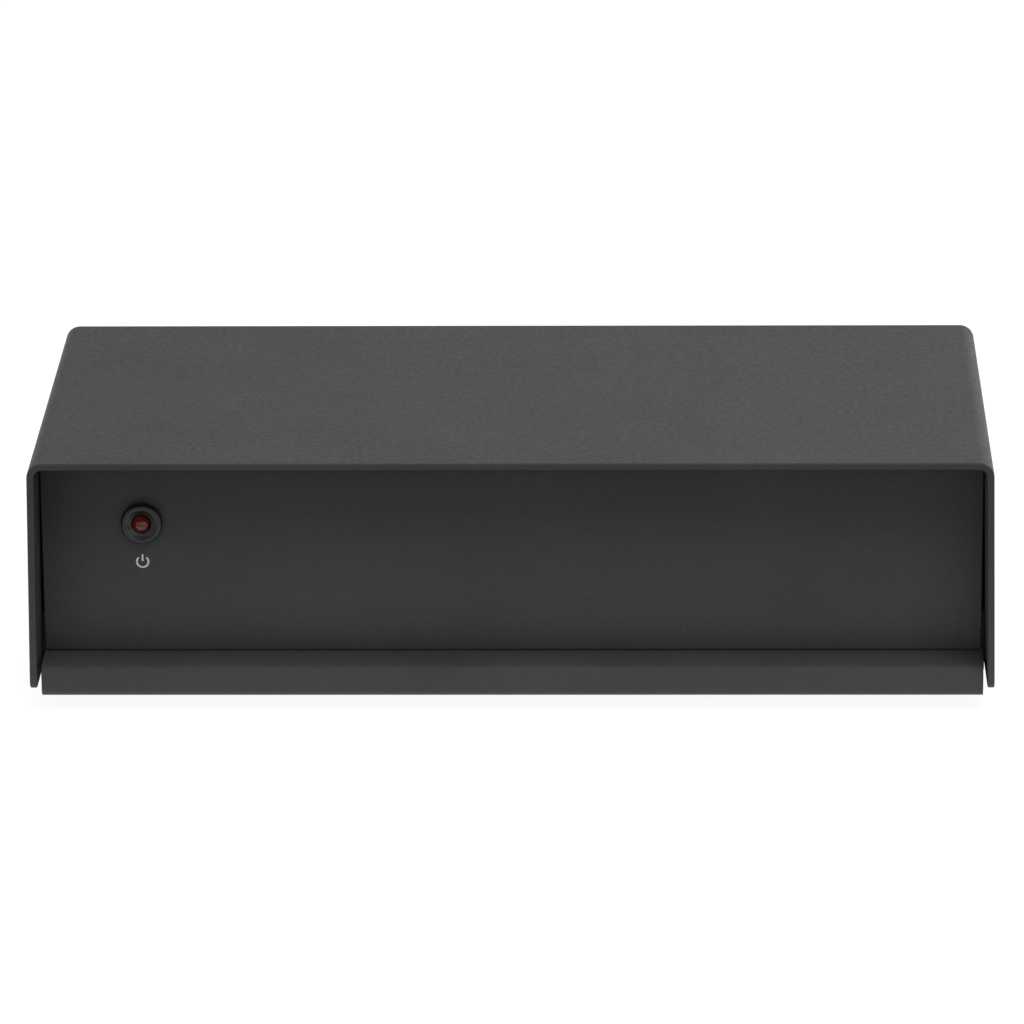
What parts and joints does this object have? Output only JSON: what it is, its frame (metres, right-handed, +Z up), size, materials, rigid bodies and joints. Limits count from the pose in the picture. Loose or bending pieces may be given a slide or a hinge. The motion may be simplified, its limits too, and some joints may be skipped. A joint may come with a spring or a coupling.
{
  "type": "phono preamp",
  "caption": "Small dark grey steel box for a turntable signal: folded cover over a chassis with a recessed front panel, power lamp, ledge and lip, rear sockets and ground post.",
  "frame": {"origin": "on the table under the middle of the whole object's bounding box", "axes": "+X to the right seen from the front, front towards -Y, +Z up"},
  "size_m": [0.1696, 0.0896, 0.0461],
  "materials": {
    "case_paint": "dark charcoal-grey satin powder coat with a very fine texture",
    "black_steel": "black oxide",
    "rubber": "matt",
    "black_plastic": "semi-gloss moulded",
    "red_lens": "clear red epoxy, unlit",
    "tinned_wire": "tinned",
    "board_resin": "green solder mask",
    "zinc_steel": "zinc plated",
    "nickel": "bright nickel plate",
    "green_wire": "PVC insulation",
    "chip_epoxy": "moulded epoxy",
    "can_sleeve": "shrink sleeve",
    "film_resin": "moulded box",
    "white_insert": "moulded",
    "red_insert": "moulded"
  },
  "bodies": {
    "case": {"cover": "case_paint", "chassis": "case_paint", "cover_screws": "black_steel", "rubber_feet": "rubber", "led_bezel": "black_plastic", "led_collar": "black_plastic", "led_lens": "red_lens", "led_leads": "tinned_wire", "circuit_board": "board_resin", "board_standoffs": "zinc_steel", "board_screws": "zinc_steel", "dc_socket_housing": "black_plastic", "dc_socket_pin": "nickel", "dc_socket_contacts": "tinned_wire", "ground_stud": "zinc_steel", "ground_lug": "tinned_wire", "ground_star_washer": "zinc_steel", "ground_lock_nut": "zinc_steel", "ground_wire": "green_wire", "opamp_left": "chip_epoxy", "opamp_right": "chip_epoxy", "filter_capacitors": "can_sleeve", "coupling_capacitors": "can_sleeve", "film_capacitors": "film_resin", "resistors": "chip_epoxy", "voltage_regulator": "chip_epoxy", "protection_diode": "chip_epoxy", "input_socket_housing": "black_plastic", "input_socket_screw": "black_steel", "input_left_shell": "nickel", "input_left_insert": "white_insert", "input_left_contact": "nickel", "input_right_shell": "nickel", "input_right_insert": "red_insert", "input_right_contact": "nickel", "output_socket_housing": "black_plastic", "output_socket_screw": "black_steel", "output_left_shell": "nickel", "output_left_insert": "white_insert", "output_left_contact": "nickel", "output_right_shell": "nickel", "output_right_insert": "red_insert", "output_right_contact": "nickel"},
    "captive_washer": {"ground_washer": "nickel"},
    "thumb_nut": {"ground_thumb_nut": "nickel"}
  },
  "joints": [
    {"name": "ground_nut_travel", "type": "slide", "parent": "case", "child": "captive_washer", "axis": [0, 1, 0], "range_m": [0, 0.00315]},
    {"name": "ground_nut_turn", "type": "hinge", "parent": "captive_washer", "child": "thumb_nut", "pos_m": [0.0205, 0.04075, 0.022], "axis": [0, 1, 0], "range_deg": [0, 1620.5]}
  ],
  "couplings": [
    {"joint": "ground_nut_turn", "follows": "ground_nut_travel", "rad_per_m": 8976}
  ]
}
